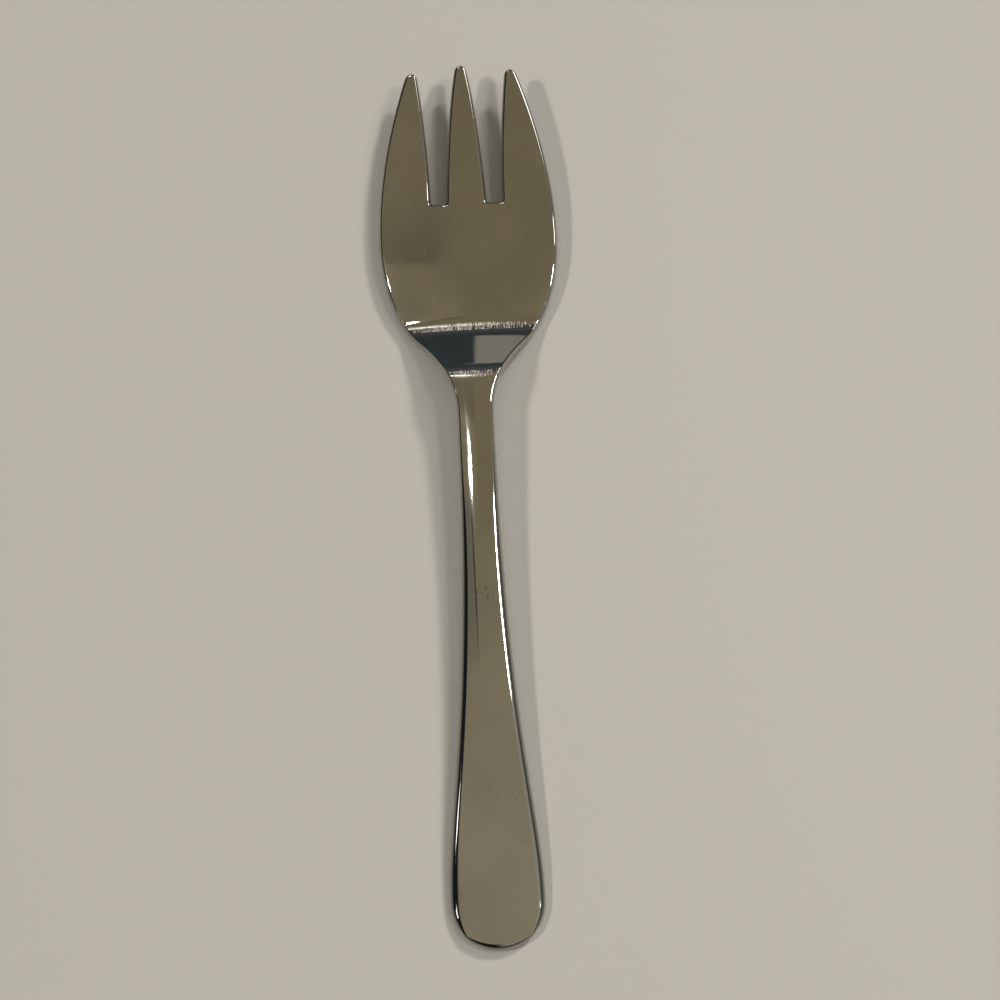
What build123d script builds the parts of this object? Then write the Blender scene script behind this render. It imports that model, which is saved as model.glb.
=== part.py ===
from build123d import *
import os

# Oyster fork: one steel blank, cut to its outline and pressed to its curve, its edges rounded or eased.
# +Y runs from the butt of the handle to the tips, +Z is up, and the fork lies with its tips turned up.

# Plan, lengths along the fork
handle_length = 86.0  # butt to waist, the narrowest place
head_length = 59.0  # waist to the middle tip
flare_from_waist = 12.4  # waist to the place half way out to the full width
widest_from_waist = 29.3
tine_length = 23.0  # middle tip to the roots of the slots
side_tine_setback = 1.0  # how far the outer tips stop short of the middle one

# Plan, widths
butt_width = 15.2
waist_width = 6.0
head_width = 29.4
middle_tine_root = 6.7
slot_width = 2.55  # at the root
tip_spread = 16.3  # between the middles of the outer tips
tip_width = 1.7

# Plan, how far each side keeps its direction before it turns
butt_run = 14.7
shank_run = 52.0
waist_run = 5.7
flare_run = 1.9  # out and along, at half width
cheek_run = 9.5  # below the widest place
temple_run = 10.2  # above the widest place
outer_tip_run = 9.0
outer_tip_lean = 3.3  # sideways lean of the outer side over that run
slot_run = 11.0  # the slot's outer side, up from the root
middle_tine_belly = 5.2  # fullness of the middle tine
belly_from_tip = 8.0

# Side view of the underside, which is straight across the fork
crest_height = 5.7  # where the handle meets the shoulder, before that bend is rounded
handle_bow = 0.1  # how far the handle's middle stands over a straight line from butt to crest
crest_from_waist = 6.7
crest_bend = 1.0  # half the run of the round bend at the crest
heel_from_waist = 15.7  # the heel is the line on which the head rests
heel_radius = 3.0
tip_rise = 5.2  # height of the tips

# Metal, measured straight down
butt_thickness = 2.3
heel_thickness = 2.6
tip_thickness = 1.3
handle_crown_radius = 33.0  # the handle's upper face is gently round
crown_before_waist = 11.0  # where that roundness begins to fade
crown_fade = 35.0  # and the length over which it goes

# Rounded and eased edges, kept within the metal that they take off
butt_rim = butt_thickness - butt_width**2 / (8 * handle_crown_radius)
tip_corner = min(0.75, 0.44 * tip_width)
slot_corner = min(0.7, 0.3 * slot_width)
upper_edge = min(0.5, 0.4 * tip_thickness, 0.4 * butt_rim, 0.7 * tip_corner)
under_edge = min(0.4, 0.32 * tip_thickness, 0.32 * butt_rim, 0.6 * tip_corner)

# Press tool: the shaped sheet runs past the outline on all sides
blank_margin = 2.0
section_count = 160

length = handle_length + head_length
butt_y = -length / 2
tip_y = length / 2
waist_y = butt_y + handle_length
flare_y = waist_y + flare_from_waist
widest_y = waist_y + widest_from_waist
root_y = tip_y - tine_length
side_tip_y = tip_y - side_tine_setback
crest_y = waist_y + crest_from_waist
heel_y = waist_y + heel_from_waist
fade_y = waist_y - crown_before_waist

butt_r = butt_width / 2
waist_x = waist_width / 2
head_x = head_width / 2
flare_x = (waist_x + head_x) / 2
tip_x = tip_spread / 2
half_tip = tip_width / 2
slot_inner_x = middle_tine_root / 2
slot_outer_x = slot_inner_x + slot_width
cut_depth = crest_height + handle_bow + tip_rise + heel_thickness + 2 * blank_margin


def slope_from_heel(run, height):
    # Slope of the straight line that leaves the round heel and reaches this height after this run
    return (run - (run**2 - 2 * heel_radius * height) ** 0.5) / heel_radius


crest_slope = (crest_height - 4 * handle_bow) / (crest_y - butt_y)
shoulder_slope = slope_from_heel(heel_y - crest_y, crest_height)
head_slope = slope_from_heel(tip_y - heel_y, tip_rise)


def climb_from_heel(run, slope):
    turned = min(run, slope * heel_radius)
    return turned**2 / (2 * heel_radius) + slope * (run - turned)


def underside(y):
    if y > heel_y:
        return climb_from_heel(y - heel_y, head_slope)
    if y > (crest_y + heel_y) / 2:
        return climb_from_heel(heel_y - y, shoulder_slope)
    back = max(crest_y - y, 0) / (crest_y - butt_y)
    handle = crest_height * (1 - back) + 4 * handle_bow * back * (1 - back)
    turned = min(max(y - crest_y + crest_bend, 0), 2 * crest_bend)
    bend = turned**2 / (4 * crest_bend) + max(y - crest_y - crest_bend, 0)
    return handle + crest_slope * max(y - crest_y, 0) - (crest_slope + shoulder_slope) * bend


def thickness(y):
    if y <= heel_y:
        return butt_thickness + (heel_thickness - butt_thickness) * (y - butt_y) / (heel_y - butt_y)
    return heel_thickness + (tip_thickness - heel_thickness) * (y - heel_y) / (tip_y - heel_y)


def head_share(y):
    t = min(max((y - fade_y) / crown_fade, 0), 1)
    return t**3 * (10 - 15 * t + 6 * t**2)


with BuildPart() as fork:
    # Outline with its two slots, cut straight down
    with BuildSketch(Plane.XY.offset(-blank_margin)):
        with BuildLine():
            RadiusArc((0, butt_y), (butt_r, butt_y + butt_r), -butt_r)
            Bezier(
                (butt_r, butt_y + butt_r),
                (butt_r, butt_y + butt_r + butt_run),
                (waist_x, waist_y - shank_run),
                (waist_x, waist_y),
            )
            Bezier(
                (waist_x, waist_y),
                (waist_x, waist_y + waist_run),
                (flare_x - flare_run, flare_y - flare_run),
                (flare_x, flare_y),
            )
            Bezier(
                (flare_x, flare_y),
                (flare_x + flare_run, flare_y + flare_run),
                (head_x, widest_y - cheek_run),
                (head_x, widest_y),
            )
            Bezier(
                (head_x, widest_y),
                (head_x, widest_y + temple_run),
                (tip_x + half_tip + outer_tip_lean, side_tip_y - outer_tip_run),
                (tip_x + half_tip, side_tip_y),
            )
            Line((tip_x + half_tip, side_tip_y), (tip_x - half_tip, side_tip_y))
            Bezier(
                (tip_x - half_tip, side_tip_y),
                (slot_outer_x, root_y + slot_run),
                (slot_outer_x, root_y),
            )
            Line((slot_outer_x, root_y), (slot_inner_x, root_y))
            Bezier(
                (slot_inner_x, root_y),
                (middle_tine_belly / 2, tip_y - belly_from_tip),
                (half_tip, tip_y),
            )
            Line((half_tip, tip_y), (0, tip_y))
            mirror(about=Plane.YZ)
        make_face()
    extrude(amount=cut_depth)
    upright = fork.edges().filter_by(Axis.Z)
    roots = upright.filter_by(lambda edge: abs(edge.center().Y - root_y) < under_edge)
    fillet(roots, slot_corner)
    upright = fork.edges().filter_by(Axis.Z)
    tips = upright.filter_by(lambda edge: edge.center().Y > (root_y + side_tip_y) / 2)
    fillet(tips, tip_corner)

    # Pressed sheet: crowned along the handle, stepped down at the shoulder, swept up to the tips
    for i in range(section_count + 1):
        y = butt_y - blank_margin + i * (length + 2 * blank_margin) / section_count
        half = butt_r + blank_margin + (head_x - butt_r) * head_share(y)
        crown = half**2 / (2 * handle_crown_radius) * (1 - head_share(y))
        under = underside(y)
        upper = under + thickness(y)
        with BuildSketch(Plane.XZ.offset(-y)):
            with BuildLine():
                Bezier((-half, upper - crown), (0, upper + crown), (half, upper - crown))
                Polyline((half, upper - crown), (half, under), (-half, under), (-half, upper - crown))
            make_face()
    loft(mode=Mode.INTERSECT)

    # The two broad faces are the upper one, with a round edge, and the underside, with an eased one
    broad = fork.faces().sort_by(SortBy.AREA)[-2:].sort_by(Axis.Z)
    fillet(broad[-1].outer_wire().edges(), upper_edge)
    broad = fork.faces().sort_by(SortBy.AREA)[-2:].sort_by(Axis.Z)
    chamfer(broad[0].outer_wire().edges(), under_edge)

os.makedirs("parts", exist_ok=True)
fork.part.label = "fork"
export_step(fork.part, "parts/fork.step")
print("fork", fork.part.bounding_box(), "volume", round(fork.part.volume, 1))
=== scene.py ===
import math

import bmesh
import bpy
import numpy as np
from mathutils import Matrix, Vector
from mathutils.geometry import interpolate_bezier


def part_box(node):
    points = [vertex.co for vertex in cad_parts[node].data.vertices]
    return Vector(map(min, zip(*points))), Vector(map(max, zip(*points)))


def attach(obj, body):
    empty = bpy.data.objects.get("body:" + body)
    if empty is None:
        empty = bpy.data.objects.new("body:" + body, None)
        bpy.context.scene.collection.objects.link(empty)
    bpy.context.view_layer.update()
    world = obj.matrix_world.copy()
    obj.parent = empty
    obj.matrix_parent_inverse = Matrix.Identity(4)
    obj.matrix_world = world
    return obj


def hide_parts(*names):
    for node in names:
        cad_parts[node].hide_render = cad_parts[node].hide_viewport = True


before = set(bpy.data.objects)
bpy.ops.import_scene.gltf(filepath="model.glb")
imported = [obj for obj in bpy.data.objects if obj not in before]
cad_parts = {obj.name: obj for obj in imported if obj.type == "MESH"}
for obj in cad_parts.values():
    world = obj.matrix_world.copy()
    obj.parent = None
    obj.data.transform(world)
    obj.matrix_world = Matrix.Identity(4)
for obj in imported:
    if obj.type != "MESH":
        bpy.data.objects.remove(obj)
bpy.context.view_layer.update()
forkLow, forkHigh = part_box("fork")
print("frame loaded, fork from", tuple(forkLow), "to", tuple(forkHigh))


# Shader maths: a wrapped socket takes part in sums, and a tree adds every other node

class Value:
    def __init__(self, tree, socket):
        self.tree = tree
        self.socket = socket

    def maths(self, operation, first, second):
        return self.tree.add("ShaderNodeMath", {"operation": operation}, {0: first, 1: second})

    def __add__(self, other):
        return self.maths("ADD", self, other)

    def __radd__(self, other):
        return self.maths("ADD", other, self)

    def __sub__(self, other):
        return self.maths("SUBTRACT", self, other)

    def __rsub__(self, other):
        return self.maths("SUBTRACT", other, self)

    def __mul__(self, other):
        return self.maths("MULTIPLY", self, other)

    def __rmul__(self, other):
        return self.maths("MULTIPLY", other, self)


class Tree:
    def __init__(self, nodeTree):
        self.nodeTree = nodeTree
        nodeTree.nodes.clear()

    def add(self, kind, settings, sockets, output=0):
        node = self.nodeTree.nodes.new(kind)
        for key, setting in settings.items():
            setattr(node, key, setting)
        for key, value in sockets.items():
            if isinstance(value, Value):
                self.nodeTree.links.new(value.socket, node.inputs[key])
            else:
                node.inputs[key].default_value = value
        return Value(self, node.outputs[output]) if node.outputs else node

    def ramp(self, value, low, high):  # 0 below low, 1 above high, eased between
        return self.add(
            "ShaderNodeMapRange",
            {"interpolation_type": "SMOOTHSTEP"},
            {"Value": value, "From Min": low, "From Max": high},
        )

    def band(self, value, rise, fall):  # 1 between a rise and a fall, 0 outside
        return self.ramp(value, *rise) * (1 - self.ramp(value, *fall))

    def noise(self, place, scale, detail, stretch=(1, 1, 1), turn=0):
        turned = self.add(
            "ShaderNodeMapping",
            {},
            {"Vector": place, "Rotation": (0, 0, math.radians(turn)), "Scale": stretch},
        )
        return self.add("ShaderNodeTexNoise", {}, {"Vector": turned, "Scale": scale, "Detail": detail})

    def blend(self, factor, first, second):
        return self.add(
            "ShaderNodeMix",
            {"data_type": "RGBA"},
            {0: factor, 6: first, 7: second},
            output=2,
        )


# Fork: a flat blank of unit cells, cut, thickened and rounded, then laid out and pressed to shape

fork = {
    "handleLength": 0.086,  # butt to waist
    "flareFromWaist": 0.0124,
    "widestFromWaist": 0.0293,
    "tineLength": 0.023,
    "sideSetback": 0.001,  # outer tips stop short of the middle one
    "buttRadius": 0.0076,
    "waistHalf": 0.003,
    "middleRootHalf": 0.00335,  # half the middle tine at its root
    "slotWidth": 0.00255,
    "tipSpread": 0.0163,
    "tipWidth": 0.0017,
    "buttRun": 0.0147,  # runs: how far a side keeps its direction
    "shankRun": 0.052,
    "waistRun": 0.0057,
    "flareRun": 0.0019,
    "cheekRun": 0.0095,
    "templeRun": 0.0102,
    "outerTipRun": 0.009,
    "outerTipLean": 0.0033,
    "slotRun": 0.011,
    "middleBelly": 0.0026,
    "bellyFromTip": 0.008,
    "crestHeight": 0.0057,  # table to underside at the crest
    "handleBow": 0.0001,  # rise of the handle's middle over a straight line
    "crestFromWaist": 0.0067,
    "crestBend": 0.001,  # half the run of the bend at the crest
    "heelFromWaist": 0.0157,
    "heelRadius": 0.003,
    "tipRise": 0.0052,
    "buttMetal": 0.0023,
    "heelMetal": 0.0026,
    "tipMetal": 0.0013,
    "crownRadius": 0.033,
    "crownFade": (-0.011, 0.024),  # from the waist, where the crown begins to fade and is gone
    "handleEdge": 0.0013,  # width of the outermost strip, most of which is rounded
    "headEdge": 0.0006,
    "edgeNarrows": 0.03,  # length before the waist over which that strip narrows
    "tipEdge": 0.0006,
    "upperRound": 0.8,  # share of that strip that is rounded
    "upperSegments": 3,
    "underRound": 0.55,
    "underSegments": 2,
    "blankDepth": 2,  # thickness of the blank, in cells
    "curvePoints": 120,  # on each run of the outline
    "capRows": 3,  # rows of cells along the fork
    "handleRows": 24,
    "shoulderRows": 20,
    "palmRows": 11,
    "tineRows": 13,
    "rootRowLength": 1.2,  # the first row above the roots, in head edges
    "slotShares": (0.28, 0.5, 0.72, 1),  # lines of points across a slot
    "sideShares": (0, 1 / 3, 2 / 3, 1),  # and across an outer tine, between its edges
    "flush": 1e-4,  # how near the blank's upper or lower face counts as on it
    "steep": 0.5,  # a face whose normal rises less than this is part of the blank's side
    "subdivisions": 2,
    "bendHalf": 0.0009,  # to each side of the heel and the crest, where polishing left lines
}

buttY = forkLow.y
tipY = forkHigh.y
headHalf = forkHigh.x
waistY = buttY + fork["handleLength"]
flareY = waistY + fork["flareFromWaist"]
widestY = waistY + fork["widestFromWaist"]
crestY = waistY + fork["crestFromWaist"]
heelY = waistY + fork["heelFromWaist"]
rootY = tipY - fork["tineLength"]
sideTipY = tipY - fork["sideSetback"]
capY = buttY + fork["buttRadius"]
flareX = (fork["waistHalf"] + headHalf) / 2
tipX = fork["tipSpread"] / 2
halfTip = fork["tipWidth"] / 2
slotInner = fork["middleRootHalf"]
slotOuter = slotInner + fork["slotWidth"]


def sampled(start, first, second, end):
    corners = (Vector((x, y, 0)) for x, y in (start, first, second, end))
    return interpolate_bezier(*corners, fork["curvePoints"])


def pulled(start, corner, end):  # a run with one handle, as the two handles that match it
    first = [a + (b - a) * 2 / 3 for a, b in zip(start, corner)]
    second = [a + (b - a) * 2 / 3 for a, b in zip(end, corner)]
    return sampled(start, first, second, end)


outerSide = [
    *sampled(
        (fork["buttRadius"], capY),
        (fork["buttRadius"], capY + fork["buttRun"]),
        (fork["waistHalf"], waistY - fork["shankRun"]),
        (fork["waistHalf"], waistY),
    ),
    *sampled(
        (fork["waistHalf"], waistY),
        (fork["waistHalf"], waistY + fork["waistRun"]),
        (flareX - fork["flareRun"], flareY - fork["flareRun"]),
        (flareX, flareY),
    )[1:],
    *sampled(
        (flareX, flareY),
        (flareX + fork["flareRun"], flareY + fork["flareRun"]),
        (headHalf, widestY - fork["cheekRun"]),
        (headHalf, widestY),
    )[1:],
    *sampled(
        (headHalf, widestY),
        (headHalf, widestY + fork["templeRun"]),
        (tipX + halfTip + fork["outerTipLean"], sideTipY - fork["outerTipRun"]),
        (tipX + halfTip, sideTipY),
    )[1:],
]
slotSide = pulled((slotOuter, rootY), (slotOuter, rootY + fork["slotRun"]), (tipX - halfTip, sideTipY))
middleSide = pulled(
    (slotInner, rootY), (fork["middleBelly"], tipY - fork["bellyFromTip"]), (halfTip, tipY)
)


def widthAt(side, y):
    return float(np.interp(y, [point.y for point in side], [point.x for point in side]))


def eased(t):
    t = min(max(t, 0), 1)
    return t**3 * (10 - 15 * t + 6 * t**2)


def slopeFromHeel(run, height):  # of the line that leaves the round heel and reaches this height
    radius = fork["heelRadius"]
    return (run - math.sqrt(run**2 - 2 * radius * height)) / radius


crestSlope = (fork["crestHeight"] - 4 * fork["handleBow"]) / (crestY - buttY)
shoulderSlope = slopeFromHeel(heelY - crestY, fork["crestHeight"])
headSlope = slopeFromHeel(tipY - heelY, fork["tipRise"])


def climbFromHeel(run, slope):
    turned = min(run, slope * fork["heelRadius"])
    return turned**2 / (2 * fork["heelRadius"]) + slope * (run - turned)


def underside(y):
    if y > heelY:
        return climbFromHeel(y - heelY, headSlope)
    if y > (crestY + heelY) / 2:
        return climbFromHeel(heelY - y, shoulderSlope)
    reach = fork["crestBend"]
    back = max(crestY - y, 0) / (crestY - buttY)
    handle = fork["crestHeight"] * (1 - back) + 4 * fork["handleBow"] * back * (1 - back)
    turned = min(max(y - crestY + reach, 0), 2 * reach)
    bend = turned**2 / (4 * reach) + max(y - crestY - reach, 0)
    return handle + crestSlope * max(y - crestY, 0) - (crestSlope + shoulderSlope) * bend


def metal(y):
    if y <= heelY:
        return fork["buttMetal"] + (fork["heelMetal"] - fork["buttMetal"]) * (y - buttY) / (heelY - buttY)
    return fork["heelMetal"] + (fork["tipMetal"] - fork["heelMetal"]) * (y - heelY) / (tipY - heelY)


def edgeStrip(y):
    narrowed = eased((y - waistY + fork["edgeNarrows"]) / fork["edgeNarrows"])
    head = fork["handleEdge"] + (fork["headEdge"] - fork["handleEdge"]) * narrowed
    return head + (fork["tipEdge"] - fork["headEdge"]) * eased((y - rootY) / (tipY - rootY))


def spread(start, end, cells):
    return [start + (end - start) * (i + 1) / cells for i in range(cells)]


rows = [buttY, buttY + fork["handleEdge"]]
rows += spread(rows[-1], capY, fork["capRows"])
rows += spread(capY, waistY, fork["handleRows"])
rows += spread(waistY, heelY, fork["shoulderRows"])
rows += spread(heelY, rootY - fork["headEdge"], fork["palmRows"])
rootRow = len(rows)
rows += [rootY, rootY + fork["rootRowLength"] * fork["headEdge"]]
rows += spread(rows[-1], tipY - halfTip, fork["tineRows"])
rows += [tipY - fork["tipEdge"], tipY]
middleLines = 3  # lines of points from the centre line to the side of the middle tine
slotLines = (middleLines, middleLines + len(fork["slotShares"]))  # along the two sides of a slot


def sideStation(y):  # the outer tines are a little shorter than the middle one
    return rootY + (y - rootY) * (sideTipY - rootY) / (tipY - rootY)


def linePlaces(y):  # distance from the centre line of each line of points at this station
    edge = edgeStrip(y)
    outer = widthAt(outerSide, y)
    if y <= rootY:
        middle, inner = slotInner, slotOuter
        outerRoot, edgeRoot = widthAt(outerSide, rootY), edgeStrip(rootY)
        squeeze = (outer - edge) / (outerRoot - edgeRoot)
    else:
        middle = widthAt(middleSide, y)
        inner, outer = widthAt(slotSide, sideStation(y)), widthAt(outerSide, sideStation(y))
        outerRoot, edgeRoot = outer, edge
        squeeze = 1
    slot = inner - middle
    side = outerRoot - edgeRoot - inner - edgeRoot
    places = [0, (middle - edgeRoot) / 2, middle - edgeRoot, middle]
    places += [middle + slot * share for share in fork["slotShares"]]
    places += [inner + edgeRoot + side * share for share in fork["sideShares"]]
    return [place * squeeze for place in places] + [outer]


def roundedEnd(across, along):  # a square grid's end, bent to a half circle
    return across * math.sqrt(1 - along**2 / 2), along * math.sqrt(1 - across**2 / 2)


def tineEnd(x, y, inner, outer, endY):  # only the last half width of a tine is bent
    if y <= endY - halfTip:
        return x, y
    centre, half = (inner + outer) / 2, (outer - inner) / 2
    across, along = roundedEnd((x - centre) / half, (y - endY + halfTip) / halfTip)
    return centre + across * half, endY - halfTip + along * halfTip


def laidOut(cell):  # from the blank's cells to the fork's plan
    y = float(np.interp(cell.y, range(len(rows)), rows))
    places = linePlaces(max(y, capY))
    line = abs(cell.x)
    x = float(np.interp(line, range(len(places)), places))
    if y < capY:
        radius = fork["buttRadius"]
        across, along = roundedEnd(x / radius, (capY - y) / radius)
        x, y = across * radius, capY - along * radius
    elif y > rootY and line > sum(slotLines) / 2:
        x, y = tineEnd(x, sideStation(y), places[slotLines[1]], places[-1], sideTipY)
    elif y > rootY:
        x, y = tineEnd(x, y, -places[slotLines[0]], places[slotLines[0]], tipY)
    return math.copysign(x, cell.x), y


def pressed(x, y, share):  # height of a point that lies at this share of the metal's thickness
    fadeFrom, fadeTo = (waistY + place for place in fork["crownFade"])
    crown = (1 - eased((y - fadeFrom) / (fadeTo - fadeFrom))) * x**2 / (2 * fork["crownRadius"])
    return underside(y) + share * (metal(y) - crown)


def cutBlank(bm, halfLines, rowCount):
    bmesh.ops.create_grid(bm, x_segments=2 * halfLines, y_segments=rowCount, size=1)
    bmesh.ops.scale(bm, vec=(halfLines, rowCount / 2, 1), verts=bm.verts)
    bmesh.ops.translate(bm, vec=(0, rowCount / 2, 0), verts=bm.verts)
    slots = []
    for face in bm.faces:
        centre = face.calc_center_median()
        if slotLines[0] < abs(centre.x) < slotLines[1] and centre.y > rootRow:
            slots.append(face)
    bmesh.ops.delete(bm, geom=slots, context="FACES")
    upper = bmesh.ops.extrude_face_region(bm, geom=bm.faces[:])["geom"]
    raised = [item for item in upper if isinstance(item, bmesh.types.BMVert)]
    bmesh.ops.translate(bm, vec=(0, 0, fork["blankDepth"]), verts=raised)
    bmesh.ops.recalc_face_normals(bm, faces=bm.faces[:])


def roundRim(bm, height, width, segments):
    bm.normal_update()
    rim = []
    for edge in bm.edges:
        level = all(abs(vert.co.z - height) < fork["flush"] for vert in edge.verts)
        if level and any(abs(face.normal.z) < fork["steep"] for face in edge.link_faces):
            rim.append(edge)
    bmesh.ops.bevel(
        bm,
        geom=rim,
        offset=width,
        offset_type="OFFSET",
        segments=segments,
        profile=0.5,
        affect="EDGES",
        material=-1,
    )


def pressBlank(bm):  # also marks the rim and the two bends for the steel
    rimLayer = bm.verts.layers.float.new("rim")
    bendLayer = bm.verts.layers.float.new("bend")
    for vert in bm.verts:
        share = vert.co.z / fork["blankDepth"]
        vert[rimLayer] = 1.0 if fork["flush"] <= share <= 1 - fork["flush"] else 0.0
        x, y = laidOut(vert.co)
        fromBend = min(abs(y - heelY), abs(y - crestY))
        vert[bendLayer] = 1 - eased((fromBend - fork["bendHalf"]) / fork["bendHalf"])
        vert.co = (x, y, pressed(x, y, share))
    bmesh.ops.recalc_face_normals(bm, faces=bm.faces[:])


def makeFork():
    bm = bmesh.new()
    cutBlank(bm, len(linePlaces(rootY)) - 1, len(rows) - 1)
    roundRim(bm, fork["blankDepth"], fork["upperRound"], fork["upperSegments"])
    roundRim(bm, 0, fork["underRound"], fork["underSegments"])
    pressBlank(bm)
    openEdges = sum(1 for edge in bm.edges if len(edge.link_faces) != 2)
    mesh = bpy.data.meshes.new("forkBody")
    bm.to_mesh(mesh)
    bm.free()
    mesh.polygons.foreach_set("use_smooth", [True] * len(mesh.polygons))
    body = bpy.data.objects.new("forkBody", mesh)
    bpy.context.collection.objects.link(body)
    smooth = body.modifiers.new("smooth", "SUBSURF")
    smooth.levels = fork["subdivisions"]
    smooth.render_levels = fork["subdivisions"]
    print("fork blank pressed:", len(mesh.polygons), "faces, open edges", openEdges)
    return body


# Steel: mirror polish with fine lines along the fork, hairline scratches, smudges, worn rougher edges, and
# painted shade that darkens the rim

steel = {
    "clean": (0.62, 0.6, 0.56, 1),
    "tired": (0.54, 0.52, 0.48, 1),
    "speck": (0.2, 0.18, 0.15, 1),
    "edge": (0.36, 0.35, 0.32, 1),  # painted shade: the rim is darkened so that it mirrors less of the pale floor
    "rimShadeShare": 0.8,
    "toneNoise": {"scale": 60, "detail": 3},
    "toneRange": (0.35, 0.65),  # ranges: where a value starts to show and shows in full
    "polish": 0.02,  # roughness of the clean mirror, to which the next four add theirs
    "lines": 0.01,
    "smudge": 0.012,
    "scratch": 0.03,
    "edgeWear": 0.02,
    "lineNoise": {"scale": 1, "detail": 2, "stretch": (3200, 90, 3200)},
    "smudgeNoise": {"scale": 110, "detail": 4, "stretch": (1, 0.6, 1), "turn": 20},
    "smudgeRange": (0.52, 0.66),
    "scratchNoise": {"scale": 1, "detail": 1, "stretch": (2100, 60, 900), "turn": -32},
    "scratchRange": (0.7, 0.74),
    "wave": 0.000002,  # height of the polishing waves
    "waveNoise": {"scale": 230, "detail": 1},
    "grain": 0.000016,  # height of the lines left in the bends
    "grainNoise": {"scale": 1, "detail": 1, "stretch": (6500, 260, 900), "turn": 2},
    "grainMean": 0.5,  # taken off, so that no step shows where the lines begin
    "grainRange": (0.5, 0.95),
    "grainElsewhere": 0.03,
    "speckScale": 900,
    "speckRange": (0.12, 0.22),
    "speckShare": 0.6,
    "patchNoise": {"scale": 70, "detail": 2},  # where the scattered specks are
    "patchRange": (0.63, 0.72),
    "patchShare": 0.6,
    "marksAt": (-0.0002, -0.0158, 0.0057),  # dried spots on the handle
    "marksReach": (0.0014, 0.003),
}


def makeSteel():
    material = bpy.data.materials.new("polishedSteel")
    material.use_nodes = True
    tree = Tree(material.node_tree)
    place = tree.add("ShaderNodeTexCoord", {}, {}, output="Object")
    rim = tree.add("ShaderNodeAttribute", {"attribute_name": "rim"}, {}, output="Fac")
    bend = tree.add("ShaderNodeAttribute", {"attribute_name": "bend"}, {}, output="Fac")

    tone = tree.ramp(tree.noise(place, **steel["toneNoise"]), *steel["toneRange"])
    cells = tree.add(
        "ShaderNodeTexVoronoi", {}, {"Vector": place, "Scale": steel["speckScale"]}, output="Distance"
    )
    patches = tree.ramp(tree.noise(place, **steel["patchNoise"]), *steel["patchRange"])
    away = tree.add(
        "ShaderNodeVectorMath",
        {"operation": "DISTANCE"},
        {0: place, 1: steel["marksAt"]},
        output="Value",
    )
    marks = 1 - tree.ramp(away, *steel["marksReach"])
    speck = (1 - tree.ramp(cells, *steel["speckRange"])) * (patches * steel["patchShare"] + marks)
    colour = tree.blend(tone, steel["tired"], steel["clean"])
    # painted shade: the rim's colour is darkened towards the edge colour
    colour = tree.blend(rim * steel["rimShadeShare"], colour, steel["edge"])
    colour = tree.blend(speck * steel["speckShare"], colour, steel["speck"])

    lines = tree.noise(place, **steel["lineNoise"])
    smudge = tree.ramp(tree.noise(place, **steel["smudgeNoise"]), *steel["smudgeRange"])
    scratch = tree.ramp(tree.noise(place, **steel["scratchNoise"]), *steel["scratchRange"])
    roughness = steel["polish"] + lines * steel["lines"] + smudge * steel["smudge"]
    roughness = roughness + scratch * steel["scratch"] + rim * steel["edgeWear"]

    waves = tree.noise(place, **steel["waveNoise"])
    bumped = tree.add("ShaderNodeBump", {}, {"Height": waves, "Strength": 1, "Distance": steel["wave"]})
    grain = tree.noise(place, **steel["grainNoise"]) - steel["grainMean"]
    grained = grain * (tree.ramp(bend, *steel["grainRange"]) + steel["grainElsewhere"])
    bumped = tree.add(
        "ShaderNodeBump",
        {},
        {"Height": grained, "Strength": 1, "Distance": steel["grain"], "Normal": bumped},
    )
    surface = tree.add(
        "ShaderNodeBsdfPrincipled",
        {},
        {"Base Color": colour, "Metallic": 1, "Roughness": roughness, "Normal": bumped},
    )
    tree.add("ShaderNodeOutputMaterial", {}, {"Surface": surface})
    print("steel mixed")
    return material


body = makeFork()
body.data.materials.append(makeSteel())
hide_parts("fork")
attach(body, "root")


# Studio: pale floor, dim warm room, a few soft lamps and the camera

ground = {
    "size": 60,
    "colour": (0.485, 0.456, 0.402, 1),
    "roughness": 0.5,
}


def makeFloor():
    bm = bmesh.new()
    bmesh.ops.create_grid(bm, x_segments=1, y_segments=1, size=ground["size"] / 2)
    mesh = bpy.data.meshes.new("floor")
    bm.to_mesh(mesh)
    bm.free()
    floor = bpy.data.objects.new("floor", mesh)
    bpy.context.collection.objects.link(floor)
    material = bpy.data.materials.new("paleFloor")
    material.use_nodes = True
    tree = Tree(material.node_tree)
    surface = tree.add(
        "ShaderNodeBsdfPrincipled",
        {},
        {"Base Color": ground["colour"], "Roughness": ground["roughness"]},
    )
    tree.add("ShaderNodeOutputMaterial", {}, {"Surface": surface})
    mesh.materials.append(material)


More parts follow.
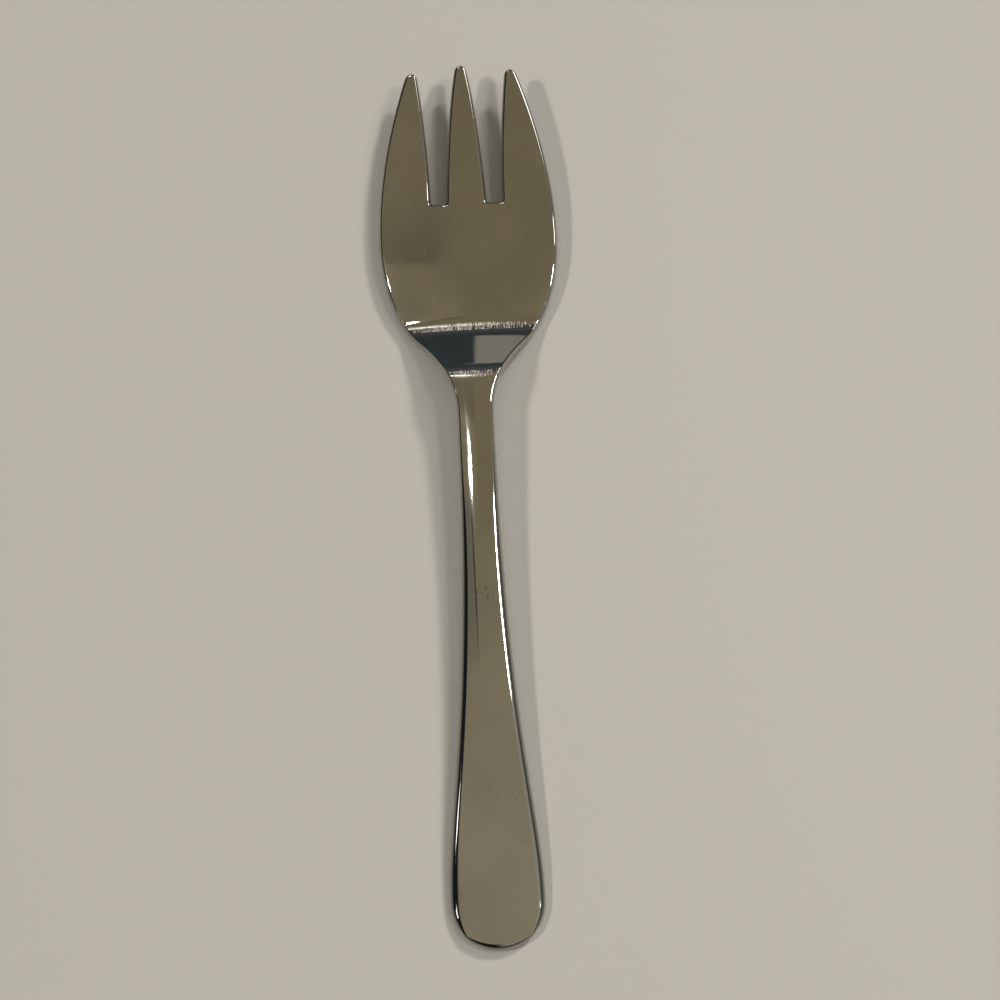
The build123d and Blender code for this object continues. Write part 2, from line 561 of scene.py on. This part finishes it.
room = {  # colours, and the parts of a direction, right, ahead or up, between which each one comes in
    "ceiling": (0.225, 0.19, 0.122, 1),  # ahead of the fork, where the head mirrors it
    "ceilingUp": (0.9, 0.93),
    "backCeiling": (0.31, 0.275, 0.195, 1),  # mirrored by the end of the handle
    "backCeilingAhead": (-0.08, 0.1),
    "lightPanel": (0.29, 0.248, 0.165, 1),  # two panels on the left of the ceiling ahead
    "lightPanelAhead": (0.03, 0.07),
    "dimPanel": (0.15, 0.128, 0.085, 1),
    "dimPanelAhead": (0.09, 0.12),
    "panelsMeet": (0.0865, 0.0875),
    "panelsRight": (-0.035, -0.02),
    "panelShare": 0.6,
    "sideCeiling": (0.19, 0.185, 0.145, 1),  # farther left
    "sideCeilingRight": (-0.13, -0.08),
    "sideCeilingAhead": ((-0.02, 0.02), (0.05, 0.065)),
    "beam": (0.06, 0.053, 0.04, 1),  # a thin dark strip between ceiling and side ceiling
    "beamRight": ((-0.112, -0.106), (-0.1, -0.094)),
    "leftWall": (0.012, 0.015, 0.02, 1),
    "rightWall": (0.06, 0.058, 0.05, 1),
    "wallsRight": (-0.1, 0.1),
    "rightWallTop": (0.34, 0.325, 0.28, 1),
    "rightWallTopUp": (0.6, 0.72),
    "wallFoot": (0.24, 0.232, 0.21, 1),  # mirrored by the upper faces when seen from low down
    "wallFootUp": (0.36, 0.5),
    "farWall": (0.04, 0.05, 0.055, 1),
    "farWallAhead": (0.25, 0.6),
    "farWallTop": (0.08, 0.082, 0.078, 1),
    "farWallTopUp": (0.2, 0.6),
    "farPanel": (0.27, 0.26, 0.225, 1),  # a paler panel on the right of the far wall
    "farPanelRight": (-0.02, -0.012),
    "farPanelUp": (0.14, 0.2),
    "skylight": (5, 4.9, 4.6, 1),  # a narrow strip, mirrored at the left end of the heel
    "skylightRight": ((-0.053, -0.051), (-0.04, -0.038)),
    "skylightAhead": ((0.19, 0.2), (0.74, 0.75)),
}


def makeCeiling(tree, right, ahead):
    ceiling = tree.blend(tree.ramp(ahead, *room["backCeilingAhead"]), room["backCeiling"], room["ceiling"])
    panels = (1 - tree.ramp(right, *room["panelsRight"])) * room["panelShare"]
    light = tree.band(ahead, room["lightPanelAhead"], room["panelsMeet"])
    dim = tree.band(ahead, room["panelsMeet"], room["dimPanelAhead"])
    ceiling = tree.blend(light * panels, ceiling, room["lightPanel"])
    ceiling = tree.blend(dim * panels, ceiling, room["dimPanel"])
    across = tree.band(ahead, *room["sideCeilingAhead"])
    left = 1 - tree.ramp(right, *room["sideCeilingRight"])
    ceiling = tree.blend(across * left, ceiling, room["sideCeiling"])
    return tree.blend(across * tree.band(right, *room["beamRight"]), ceiling, room["beam"])


def makeWalls(tree, right, ahead, up):
    rightSide = tree.blend(tree.ramp(up, *room["rightWallTopUp"]), room["rightWall"], room["rightWallTop"])
    sides = tree.blend(tree.ramp(right, *room["wallsRight"]), room["leftWall"], rightSide)
    sides = tree.blend(tree.ramp(up, *room["wallFootUp"]), room["wallFoot"], sides)
    far = tree.blend(tree.ramp(right, *room["farPanelRight"]), room["farWall"], room["farPanel"])
    high = tree.blend(tree.ramp(up, *room["farWallTopUp"]), room["farWall"], room["farWallTop"])
    far = tree.blend(tree.ramp(up, *room["farPanelUp"]), far, high)
    return tree.blend(tree.ramp(ahead, *room["farWallAhead"]), sides, far)


def makeRoom():
    world = bpy.data.worlds.new("room")
    bpy.context.scene.world = world
    world.use_nodes = True
    tree = Tree(world.node_tree)
    direction = tree.add("ShaderNodeTexCoord", {}, {}, output="Generated")
    parts = tree.add("ShaderNodeSeparateXYZ", {}, {"Vector": direction}).socket.node.outputs
    right, ahead, up = (Value(tree, parts[axis]) for axis in "XYZ")
    ceiling = makeCeiling(tree, right, ahead)
    walls = makeWalls(tree, right, ahead, up)
    colour = tree.blend(tree.ramp(up, *room["ceilingUp"]), walls, ceiling)
    skylight = tree.band(right, *room["skylightRight"]) * tree.band(ahead, *room["skylightAhead"])
    colour = tree.blend(skylight, colour, room["skylight"])
    surface = tree.add("ShaderNodeBackground", {}, {"Color": colour, "Strength": 1})
    tree.add("ShaderNodeOutputWorld", {}, {"Surface": surface})


suns = {  # direction, degrees across, strength: soft shadows on both sides, lightened from above
    "rightSun": ((0.87, 1, 1.16), 7.5, 1.173),
    "leftSun": ((-0.87, 0.0, 1.16), 6, 1.12),
    "topSun": ((0, 0, 1), 30, 0.25),
}
lamps = {  # place, size across and along, watts: the lights that the steel mirrors
    "rightLamp": ((0.62, 0.03, 1.25), (0.1, 0.18), 2.5),
    "rightGlint": ((0.66, 0.17, 0.753), (0.07, 0.12), 0.3),
    "tipGlint": ((0.54, 0.46, 0.75), (0.25, 0.4), 1.2),
    "leftGlint": ((-3.31, -0.144, 3.74), (0.15, 0.5), 0.75),
    "leftButtGlint": ((-0.66, -0.2, 0.753), (0.05, 0.15), 0.05),
    "rightButtGlint": ((0.66, -0.18, 0.753), (0.02, 0.1), 0.015),
    "neckSpot": ((-0.433, 0.317, 4.49), (0.075, 0.09), 1.8),
    "nearSpot": ((-0.175, 0.55, 1.5), (0.03, 0.1), 0.08),
    "farSpot": ((-0.205, 0.49, 1.5), (0.03, 0.1), 0.08),
}


def placeLight(light, place):  # it faces the fork
    lamp = bpy.data.objects.new(light.name, light)
    lamp.location = place
    lamp.rotation_euler = Vector(place).to_track_quat("Z", "Y").to_euler()
    bpy.context.collection.objects.link(lamp)
    return lamp


def makeSun(name, direction, degrees, strength):
    light = bpy.data.lights.new(name, "SUN")
    light.angle = math.radians(degrees)
    light.energy = strength
    placeLight(light, direction).visible_glossy = False


def makeLamp(name, place, size, watts):
    light = bpy.data.lights.new(name, "AREA")
    light.shape = "RECTANGLE"
    light.size, light.size_y = size
    light.energy = watts
    placeLight(light, place)


shot = {
    "azimuth": 4.0045,  # degrees round the fork
    "elevation": 79.707,
    "roll": -6.715,
    "distance": 0.43656,
    "aim": (0.00329, -0.00061, 0.004),
    "lens": 97.11,
    "sensor": 36,
}


def makeCamera():
    azimuth = math.radians(shot["azimuth"])
    elevation = math.radians(shot["elevation"])
    away = Vector((math.sin(azimuth), -math.cos(azimuth), math.tan(elevation))).normalized()
    camera = bpy.data.objects.new("camera", bpy.data.cameras.new("camera"))
    camera.data.lens = shot["lens"]
    camera.data.sensor_width = shot["sensor"]
    roll = Matrix.Rotation(math.radians(shot["roll"]), 3, "Z")
    camera.rotation_euler = (away.to_track_quat("Z", "Y").to_matrix() @ roll).to_euler()
    camera.location = Vector(shot["aim"]) + away * shot["distance"]
    bpy.context.collection.objects.link(camera)
    bpy.context.scene.camera = camera


makeFloor()
makeRoom()
for name, settings in suns.items():
    makeSun(name, *settings)
for name, settings in lamps.items():
    makeLamp(name, *settings)
makeCamera()
bpy.context.scene.view_settings.view_transform = "Standard"
print("studio lit")
